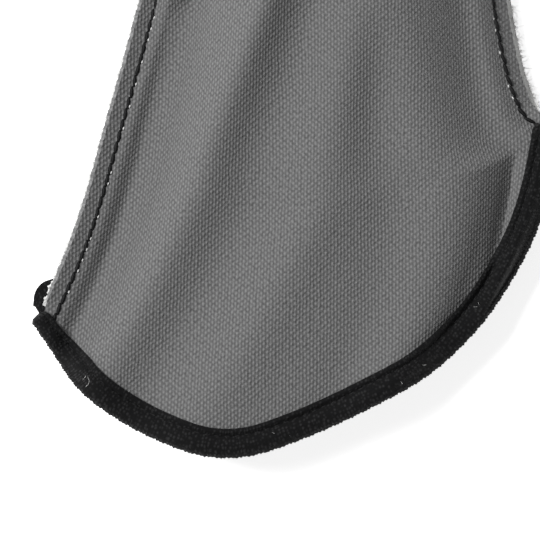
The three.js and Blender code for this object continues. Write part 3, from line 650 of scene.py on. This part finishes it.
def in_scene(name, data):
    item = bpy.data.objects.new(name, data)
    bpy.context.collection.objects.link(item)
    return item


def loose_piece(name, points, faces):
    mesh = bpy.data.meshes.new(name)
    mesh.from_pydata((points.reshape(-1, 3) + sheet_middle) * mm, [], faces)
    return in_scene(name, mesh)


def copies(name, shape, spots, ways, top_way):
    """A stitch copied to each spot, laid along its way with its top outwards"""
    points, faces = shape
    side = unit(np.cross(top_way, ways))
    top = np.cross(ways, side)
    placed = spots[:, None] + sum(points[None, :, k, None] * way[:, None]
                                  for k, way in enumerate((ways, side, top)))
    all_faces = [tuple(i + k * len(points) for i in face)
                 for k in range(len(spots)) for face in faces]
    piece = loose_piece(name, placed, all_faces)
    piece.data.polygons.foreach_set("use_smooth", [True] * len(piece.data.polygons))
    return piece


def fine_line(line, step):
    run = run_of(line)
    return along(line, np.linspace(0, 1, int(run[-1] / step) + 1))


def slanted(line, pitch, slant, seed):
    """The middle of each stitch along a seam and the way it lies, a little off the seam's own"""
    spots = fine_line(line, pitch)
    spots = (spots[:-1] + spots[1:]) / 2
    ways = unit(np.gradient(spots, axis=0))
    turn = math.radians(slant) + np.random.default_rng(seed).normal(0, 0.05, len(ways))
    cosine, sine = np.cos(turn), np.sin(turn)
    x, y = ways[:, 0].copy(), ways[:, 1].copy()
    ways[:, 0], ways[:, 1] = cosine * x - sine * y, sine * x + cosine * y
    return spots, ways


def thread_finish():
    """Black sewing thread: its twist shows as a fine slanted rib"""
    material, tree = shader("black thread", {"Roughness": 0.6, "Specular IOR Level": 0.2})
    twist = pattern(tree, "Wave", object_place(tree), {"Scale": 900})
    twist.bands_direction = "DIAGONAL"
    colour_by(tree, twist.outputs["Fac"], (0.003, 0.003, 0.003), (0.009, 0.009, 0.01))
    return material


black_thread = thread_finish()
seam_stitch = spindle(3.0, 1.0, 0.7)
upwards = np.array([0.0, 0.0, 1.0])


def sew_on(piece, material):
    piece.data.materials.append(material)
    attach(piece, "root")


def stitched(name, line, level, top_way, slant, seed):
    """A row of black stitches along a seam, at this level"""
    spots, ways = slanted(line, stitch_pitch, slant, seed)
    spots[:, 2] = level
    sew_on(copies(name, seam_stitch, spots, ways, top_way), black_thread)


stitched("back_seam_stitches", back_line, back_level + thread_rise, upwards, slant=9, seed=1)

# Palm side of the cuff: the same knit, lying flat, with a hem that runs nearly straight between
# the two corners. Its edges are sewn into the outside seams with the back's.

palm_hem_rise, palm_hem_start, palm_fullness = 6.0, 5.5, 1.25
lining_wall, tape_wall, binding_roll, rest_gap = 1.0, 1.0, 0.5, 0.1
# The little finger's flange is cut wider than the back's for part of its run
extra_cut, extra_cut_start, extra_cut_end, extra_cut_fade, cut_fray = 1.05, 6, 42, 20, 0.15
tape_reach = lay_gap + tape_wall
cuff_palm_level = seam_height - lay_gap / 2 - lining_wall - lay_gap - knit_wall
palm_seam_from = 1 - palm_hem_start / run_of(little_seam)[-1]
palm_corner = along(little_seam, [palm_seam_from])[0]
palm_hem = line_through([mix(palm_corner, thumb_corner, share)
                         + [0, palm_hem_rise * math.sin(math.pi * share)]
                         for share in np.linspace(0, 1, 5)])


def lying(grid, level, floor):
    """A lower panel's outer face, which falls from its flange and lies flat"""
    low = grid.copy()
    low[..., 2] = np.maximum(floor, level - (level - floor) * palm_fullness * grid[..., 2])
    return low


def cuff_palm_floor(grid):
    chord = (grid[..., 0] - palm_corner[0]) / (thumb_corner[0] - palm_corner[0])
    hem_y = mix(palm_corner[1], thumb_corner[1], chord) + palm_hem_rise
    return (tape_reach + binding_roll + rest_gap) * smooth(grid[..., 1] / hem_y)


def cuff_palm_grid(columns, rows):
    left = along(little_seam, np.linspace(palm_seam_from, 0, rows + 1))
    right = along(thumb_seam, np.linspace(1, 0, rows + 1))
    left[-1, 1] = right[-1, 1] = -lay_gap / 2
    bottom = along(palm_hem, np.linspace(0, 1, columns + 1))
    plan = patch_between(left, right, bottom, stretch_between(left[-1], right[-1], columns))
    return with_rise(plan, arch(np.linspace(0, 1, columns + 1), *root_arch)[None])


cuff_palm = cuff_palm_grid(columns=88, rows=64)
little_line, thumb_line = cuff_palm[:, 0], cuff_palm[::-1, -1]
little_run, thumb_run = run_of(little_line), run_of(thumb_line)
little_extra = extra_cut * smooth(little_run / extra_cut_start)
little_extra = little_extra * smooth((extra_cut_end - little_run) / extra_cut_fade)
little_cut = trimmed(little_run) + little_extra + ragged(little_run, cut_fray)
thumb_widths = flange_width * tapered(thumb_run)
little_flange = flange_grid(little_line, little_cut, at_wrist=[-1])
thumb_flange = flange_grid(thumb_line, thumb_widths, at_wrist=[0])
cuff_palm_parts = []
for name, grid, line, rise in [("cuff palm", cuff_palm, None, 0),
                               ("little flange", little_flange, little_line, little_tilt),
                               ("thumb flange", thumb_flange, thumb_line, thumb_tilt)]:
    placed = lying(grid, cuff_palm_level, cuff_palm_floor(grid))
    if line is not None:
        placed = tilted(placed, line, rise)
    cuff_palm_parts.append(cloth_piece(name, placed, grid[..., :2]))
cuff_palm_piece = sewn("palm_side_of_cuff", cuff_palm_parts, knit_wall, up=False)
cuff_palm_piece.data.materials.append(grey_knit)
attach(cuff_palm_piece, "root")
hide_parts("cuff_palm_panel")
for seed, (side, line) in enumerate([("little", little_line), ("thumb", thumb_line)], 2):
    stitched(f"cuff_palm_stitches_{side}", line, cuff_palm_level - thread_rise, -upwards, 7, seed)

# Palm: one panel of dark grey suede from the wrist to the fingertips, sewn to the back all round
# with the raw edges outside. It lies flat under the hand.

suede_wall = 1.4
palm_level = seam_height - lay_gap / 2 - suede_wall
palm_cells = dict(finger=14, crotch=6, finger_rows=30, tip_rows=10, wrist_rows=8, web=4,
                  thumb=22, root_rows=16)
palm_hand = hand_grid(palm_cells, lay_gap / 2)
palm_digits = finger_grids(palm_hand, palm_cells)
palm_thumb = thumb_grid(palm_hand, palm_cells)
palm_line = hand_stitches(palm_hand, palm_digits, palm_thumb, palm_cells)
palm_widths = np.full(len(palm_line), flange_width)
palm_flange = flange_grid(palm_line, palm_widths, at_wrist=[0, -1])
palm_parts = []
for number, grid in enumerate([palm_hand, *palm_digits, palm_thumb, palm_flange]):
    share = grid.copy()
    share[..., 2] = np.minimum(1, grid[..., 2] / finger_rise)
    placed = lying(share, palm_level, 0)
    palm_parts.append(cloth_piece(f"palm part {number}", placed, grid[..., :2]))
palm = sewn("palm_of_glove", palm_parts, suede_wall, up=False)


def suede_finish():
    """Dark grey suede: a short nap that lies this way and that, rubbed lighter in soft patches"""
    material, tree = shader("palm suede", {"Roughness": 0.85, "Sheen Weight": 0.35,
                                           "Sheen Roughness": 0.6})
    place = object_place(tree)
    nap = pattern(tree, "Noise", place, {"Scale": 1400, "Detail": 4}).outputs["Fac"]
    rub = pattern(tree, "Noise", place, {"Scale": 45, "Detail": 5}).outputs["Fac"]
    worn = spread(tree, blend(tree, "MULTIPLY", nap, rub), 0.12, 0.42, "LINEAR")
    colour_by(tree, worn, (0.012, 0.012, 0.013), (0.042, 0.042, 0.044))
    relief_by(tree, nap, 0.4, 0.0002)
    return material


palm.data.materials.append(suede_finish())
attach(palm, "root")
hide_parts("palm_panel")
stitched("palm_seam_stitches", palm_line, palm_level - thread_rise, -upwards, slant=7, seed=4)

# Lining: a white layer caught in each side seam of the cuff. It was cut a little proud of the
# flanges, so its frayed edge shows beside them.

lining_level, lining_fray, lining_step = seam_height - lay_gap / 2, 0.45, 0.25
# How far it shows beside the flange
lining_show = {"little": 0.55, "thumb": 1.0}
fibre_counts, fibre_length, fibre_thickness = {"little": 200, "thumb": 260}, 0.9, 0.13
root_depth, clear_of_tape = 0.3, 50
# Size, share kept, inset and rise of the white specks that paint highlights beside the stitches
pucker_highlight_speck, highlight_specks_kept, highlight_inset, highlight_rise = (0.75, 0.38, 0.4), 0.7, 0.5, 0.25


def lining_edge(line, widths, show, at_wrist):
    fray = ragged(run_of(line), lining_fray) * np.minimum(1, widths / flange_width)
    return beside(line, widths + show + fray, at_wrist)


def lining_piece(name, line, widths, show, at_wrist, rise):
    inner = beside(line, np.full(len(line), lay_gap), at_wrist)
    outer = lining_edge(line, widths, show, at_wrist)
    grid = mix(inner[None], outer[None], np.linspace(0, 1, 5)[:, None, None])
    grid[..., 2] = lining_level
    grid = tilted(grid, line, rise)
    return sewn(name, [cloth_piece(name, grid, grid[..., :2])], lining_wall, up=True)


def fibres(name, roots, ways, length, thickness, seed):
    """Short loose fibres, each a bent four-sided tube that starts inside the cloth"""
    random = np.random.default_rng(seed)
    count, bends, flatness = len(roots), 5, [1, 1, 0.35]
    reach = length * random.uniform(0.5, 1.3, count)[:, None]
    swerve = random.normal(0, 1, (count, 3)) * flatness
    curl = random.normal(0, 1, (count, 3)) * flatness
    t = np.linspace(0, 1, bends + 1)[None, :, None]
    path = roots[:, None] + reach[:, None] * (ways[:, None] * t + 0.55 * swerve[:, None] * t ** 2
                                              + 0.3 * curl[:, None] * np.sin(np.pi * t))
    way = unit(np.gradient(path, axis=1))
    side = unit(np.cross(way, [0.31, 0.17, 0.94]))
    top = np.cross(way, side)
    radius = thickness / 2 * (1 - 0.5 * t)
    rings = np.stack([path + radius * offset for offset in (side, top, -side, -top)], axis=2)
    faces = []
    for k in range(count):
        start = k * 4 * (bends + 1)
        for here in range(start, start + 4 * bends, 4):
            faces += [(here + c, here + after, here + 4 + after, here + 4 + c)
                      for c, after in enumerate((1, 2, 3, 0))]
        faces += [(start + 3, start + 2, start + 1, start), tuple(range(here + 4, here + 8))]
    return loose_piece(name, rings, faces)


def lining_finish():
    """White brushed lining: soft and matt, with fine fibres"""
    material, tree = shader("white lining", {"Roughness": 0.95, "Sheen Weight": 0.3})
    fibre = pattern(tree, "Noise", object_place(tree), {"Scale": 2500, "Detail": 3}).outputs["Fac"]
    colour_by(tree, fibre, (0.55, 0.55, 0.54), (0.85, 0.85, 0.84))
    relief_by(tree, fibre, 0.8, 0.0003)
    return material


white_lining = lining_finish()
lined = [("little", little_line, trimmed(little_run + palm_hem_start), -1, little_tilt),
         ("thumb", thumb_line, thumb_widths, 0, thumb_tilt)]
for side, line, widths, wrist_end, rise in lined:
    fine, show = fine_line(line, lining_step), lining_show[side]
    fine_widths = np.interp(run_of(fine), run_of(line), widths)
    lining = lining_piece(f"seam_lining_{side}", fine, fine_widths, show, [wrist_end], rise)
    lining.data.materials.append(white_lining)
    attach(lining, "root")
    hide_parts(f"seam_lining_{side}_side")
    root_show = show - root_depth
    edge = lining_edge(fine, fine_widths, root_show, [wrist_end])
    picked = np.random.default_rng(7).uniform(clear_of_tape, len(edge) - 2, fibre_counts[side])
    picked = picked.astype(int)
    outward = with_rise(left_of(edge[picked], edge[picked + 1]), 0)
    roots, depths = edge[picked], np.random.default_rng(8).uniform(0.1, 0.9, len(picked))
    roots[:, 2] = lining_level - lining_wall * depths
    roots[:, 2] += rise * (fine_widths[picked] + root_show) * free_of_tape(fine[picked])
    sew_on(fibres(f"lining_fibres_{side}", roots, outward, fibre_length, fibre_thickness, 9),
           white_lining)
    # White specks beside some of the stitches, on the panel's side, in the lining's finish: painted
    # highlights where light catches the puckered cloth
    highlight_spots = fine_line(line, stitch_pitch)[1:-1]
    highlight_spots = highlight_spots[np.random.default_rng(10).uniform(0, 1, len(highlight_spots)) < highlight_specks_kept]
    ways = unit(np.gradient(highlight_spots, axis=0))
    highlight_spots[:, :2] -= left_of(highlight_spots - ways, highlight_spots) * highlight_inset
    highlight_spots[:, 2] = back_level + highlight_rise
    sew_on(copies(f"painted_highlights_beside_stitches_{side}", spindle(*pucker_highlight_speck), highlight_spots, ways,
                  upwards), white_lining)

# Hem binding: a black knit tape folded over the cuff's hem and sewn through, all round the mouth.
# Its stitches pull a groove along it, and outside the groove the tape rolls round the edge.

# The tape is pressed thinner where it is sewn
binding_step, pressed_thin = 0.27, 0.8
# At the little finger's end: how far each run of tape reaches past the seam, its width there,
# how round its end is inwards and outwards, and how much of its thickness lies inside the cuff
tape_ends = {"back": (4.9, 0.68, (1.6, 1.1), 1.0), "palm": (4.9, 1.35, (5.0, 1.0), 0.3)}
thumb_end_round, thinnest, full_width_from, widening = 2.2, 0.003, 2, 16
# Past the seam the tape settles onto the cloth, and its rises are evened out over some steps
settle_before, settle_run, evened_steps = 2, 5, 11
tooth, tooth_pitch, tooth_inset, tooth_fade = 0.11, 0.85, 1, 1.5
# Inset from the hem, and how far the tape lies off the cloth there
tape_stations = [(5.2, 0.85), (5.1, 1.3), (4.7, 1.6), (4.2, 1.5), (3.85, 1.1), (3.6, 0.82),
                 (3.35, 1.1), (2.8, 1.7), (2.1, 2.1), (1.3, 2.25), (0.4, 2.05), (-0.4, 1.6),
                 (-0.95, 0.9), (-1.25, 0.1)]
groove_inset, groove_clear = 3.6, 12
tape_section = along(line_through(tape_stations), np.linspace(0, 1, 25))
groove_row = int(np.abs(tape_section[:, 0] - groove_inset).argmin())
tape_stitch, tape_stitch_pitch = (1.7, 0.5, 0.35), 2.2


def surface_under(piece):
    """Tells how high the piece's upper or lower side lies at a spot of the plan"""
    mesh, far = piece.data, 0.1
    cloth = BVHTree.FromPolygons([v.co[:] for v in mesh.vertices],
                                 [face.vertices[:] for face in mesh.polygons])

    def height(spot, from_above):
        x, y = (spot[:2] + sheet_middle[:2]) * mm
        start, way = (far, -1) if from_above else (-far, 1)
        hit = cloth.ray_cast(Vector((x, y, start)), Vector((0, 0, way)))
        return hit[0].z / mm if hit[0] is not None else None

    return height


def tape_path(line, wraps):
    """The hem's line, run on past both its ends, level there"""
    first = line[0] + unit(line[0] - line[1]) * wraps[0]
    last = line[-1] + unit(line[-1] - line[-2]) * wraps[1]
    first[2], last[2] = line[0, 2], line[-1, 2]
    return fine_line(np.vstack([first, line, last]), binding_step)


def rounded(to_end):
    return np.sqrt(np.clip(1 - (1 - np.minimum(to_end, 1)) ** 2, thinnest, 1))


def band(height, line, from_above, tape_end):
    """One run of the tape: rows over the outside of the hem, round it and up the inside"""
    wrap, end_width, end_round, inside = tape_end
    path = tape_path(line, (wrap, tape_reach))
    run = run_of(path)
    full, outer_full = [rounded(np.minimum(run / size, (run[-1] - run) / thumb_end_round))
                        for size in end_round]
    on_cloth = smooth((run - wrap + settle_before) / settle_run)
    toothed = tooth * np.sin(2 * np.pi * run / tooth_pitch) + ragged(run, cut_fray)
    widths = mix(end_width, 1, smooth((run - full_width_from) / widening))
    outer, middle_inset = tape_section[-1, 0], tape_section[:, 0].mean()
    faces = []
    for inset in tape_section[:, 0]:
        rounding = full if inset > middle_inset else outer_full
        inset_here = outer + widths * (middle_inset - outer + (inset - middle_inset) * rounding)
        row = beside(path, inset_here - toothed * smooth((tooth_inset - inset) / tooth_fade))
        levels = [height(spot, from_above) if inset > 0 else None for spot in row]
        row[:, 2] = [z if level is None else mix(z, level, share)
                     for z, level, share in zip(path[:, 2], levels, on_cloth)]
        faces.append(row)
    faces = np.array(faces)
    held = np.pad(faces[..., 2], ((0, 0), (evened_steps // 2, evened_steps // 2)), mode="edge")
    evenly = np.ones(evened_steps) / evened_steps
    faces[..., 2] = [np.convolve(row, evenly, "valid") for row in held]
    outward = upwards if from_above else -upwards
    over = ((knit_wall / 2 + tape_section[:, 1:]) * full)[..., None]
    under = ((knit_wall / 2 + tape_section[:, 1:] * inside) * full)[..., None]
    middle = faces - outward * knit_wall / 2
    rows = np.concatenate([middle + outward * over, (middle - outward * under)[::-1][1::2]])
    rows[..., 2] = np.maximum(rows[..., 2], rest_gap)
    groove = rows[groove_row][groove_clear:-groove_clear]
    return rows[::-1] if from_above else rows, groove


back_hem_edge = np.vstack([back_cuff[0], back_cuff[1:corner_row + 1, -1]])
back_hem_edge = at_level(back_hem_edge, back_level)
palm_hem_edge = lying(cuff_palm[0], cuff_palm_level, cuff_palm_floor(cuff_palm[0]))
hems = [("binding over the back", back, back_hem_edge, True, tape_ends["back"]),
        ("binding over the palm side", cuff_palm_piece, palm_hem_edge, False, tape_ends["palm"])]
grooves, binding_parts = [], []
for name, cloth, line, above, tape_end in hems:
    rows, groove = band(surface_under(cloth), line, above, tape_end)
    along_tape, round_tape = run_of(rows[len(rows) // 2]), run_of(rows[:, rows.shape[1] // 2])
    weave = np.stack(np.broadcast_arrays(along_tape[None], round_tape[:, None]), axis=-1)
    binding_parts.append(cloth_piece(name, rows, weave))
    grooves.append((name, groove, above))
binding = sewn("hem_binding_tape", binding_parts, tape_wall * pressed_thin)


def tape_finish():
    """Black knit tape: dull black with a fine honeycomb of slightly lighter loops"""
    material, tree = shader("black binding", {"Roughness": 0.9, "Specular IOR Level": 0.15,
                                              "Sheen Weight": 0.04})
    weave = weave_place(tree)
    cells = pattern(tree, "Voronoi", weave, {"Scale": 1.15, "Randomness": 0.55})
    loops = spread(tree, cells.outputs["Distance"], 0.6, 0.1)
    dust = pattern(tree, "Noise", weave, {"Scale": 2.5, "Detail": 4}).outputs["Fac"]
    dusty_loops = blend(tree, "MULTIPLY", loops, dust)
    colour_by(tree, dusty_loops, (0.005, 0.005, 0.0053), (0.04, 0.04, 0.041))
    relief_by(tree, loops, 0.7, 0.0003)
    return material


binding.data.materials.append(tape_finish())
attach(binding, "root")
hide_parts("hem_binding")
# A few light fibres cling to the tape over the back, outside its groove
lint_count, lint_length, lint_thickness, lint_beyond, lint_rise = 9, 1.4, 0.08, (0.8, 3.4), 0.9
lint, groove = np.random.default_rng(30), grooves[0][1]
picked = lint.integers(10, len(groove) - 10, lint_count)
roots, beyond = groove[picked], lint.uniform(*lint_beyond, lint_count)[:, None]
roots[:, :2] -= left_of(groove[picked], groove[picked + 1]) * beyond
roots[:, 2] += lint_rise
ways = unit(lint.normal(0, 1, (lint_count, 3)) * [1, 1, 0.1] + [0, 0, 0.35])
sew_on(fibres("lint_on_the_tape", roots, ways, lint_length, lint_thickness, 31), white_lining)
for number, (name, groove, above) in enumerate(grooves):
    spots, ways = slanted(groove, tape_stitch_pitch, slant=3, seed=20 + number)
    sew_on(copies(f"stitches_of_the_{name}".replace(" ", "_"), spindle(*tape_stitch), spots, ways,
                  upwards if above else -upwards), black_thread)

# Studio: a white table whose finish glows a little (painted light that washes out the glove's
# shadow on it), a large soft light from the upper left, and the camera looking straight down on the
# cuff with a long lens, as in the photograph.

# Metres, and the camera's sensor in its own millimetres
view_middle, view_width, camera_height, sensor_width = (-0.030358, -0.106826), 0.1188, 1.6, 36
light_place, light_size, light_power = (-1.15, 0.55, 1.9), 0.9, 56
bpy.ops.object.select_all(action="DESELECT")
bpy.ops.mesh.primitive_plane_add(size=6, location=(0, 0, 0))
table = bpy.context.object
table.name = "table"
# The table glows: its emission is painted light, which washes out the glove's shadow and lights the
# glove from below
glowing_table_finish = shader("white table", {"Base Color": (0.94, 0.94, 0.94, 1), "Roughness": 0.9,
                                      "Emission Color": (1, 1, 1, 1), "Emission Strength": 0.75})[0]
table.data.materials.append(glowing_table_finish)

world = bpy.data.worlds.new("soft room")
world.use_nodes = True
set_sockets(world.node_tree.nodes["Background"], {"Color": (1, 1, 1, 1), "Strength": 0.2})
bpy.context.scene.world = world
bpy.context.scene.view_settings.view_transform = "Standard"

key = bpy.data.lights.new("key light", "AREA")
key.size, key.energy = light_size, light_power
key_object = in_scene("key light", key)
key_object.location = light_place
key_object.visible_camera = False
to_cuff = Vector((*view_middle, 0)) - Vector(light_place)
key_object.rotation_euler = to_cuff.to_track_quat("-Z", "Y").to_euler()

camera = bpy.data.cameras.new("camera")
camera.sensor_width = sensor_width
camera.lens = sensor_width * camera_height / view_width
camera.clip_start, camera.clip_end = 0.1, 20
camera_object = in_scene("camera", camera)
camera_object.location = (*view_middle, camera_height)
bpy.context.scene.camera = camera_object
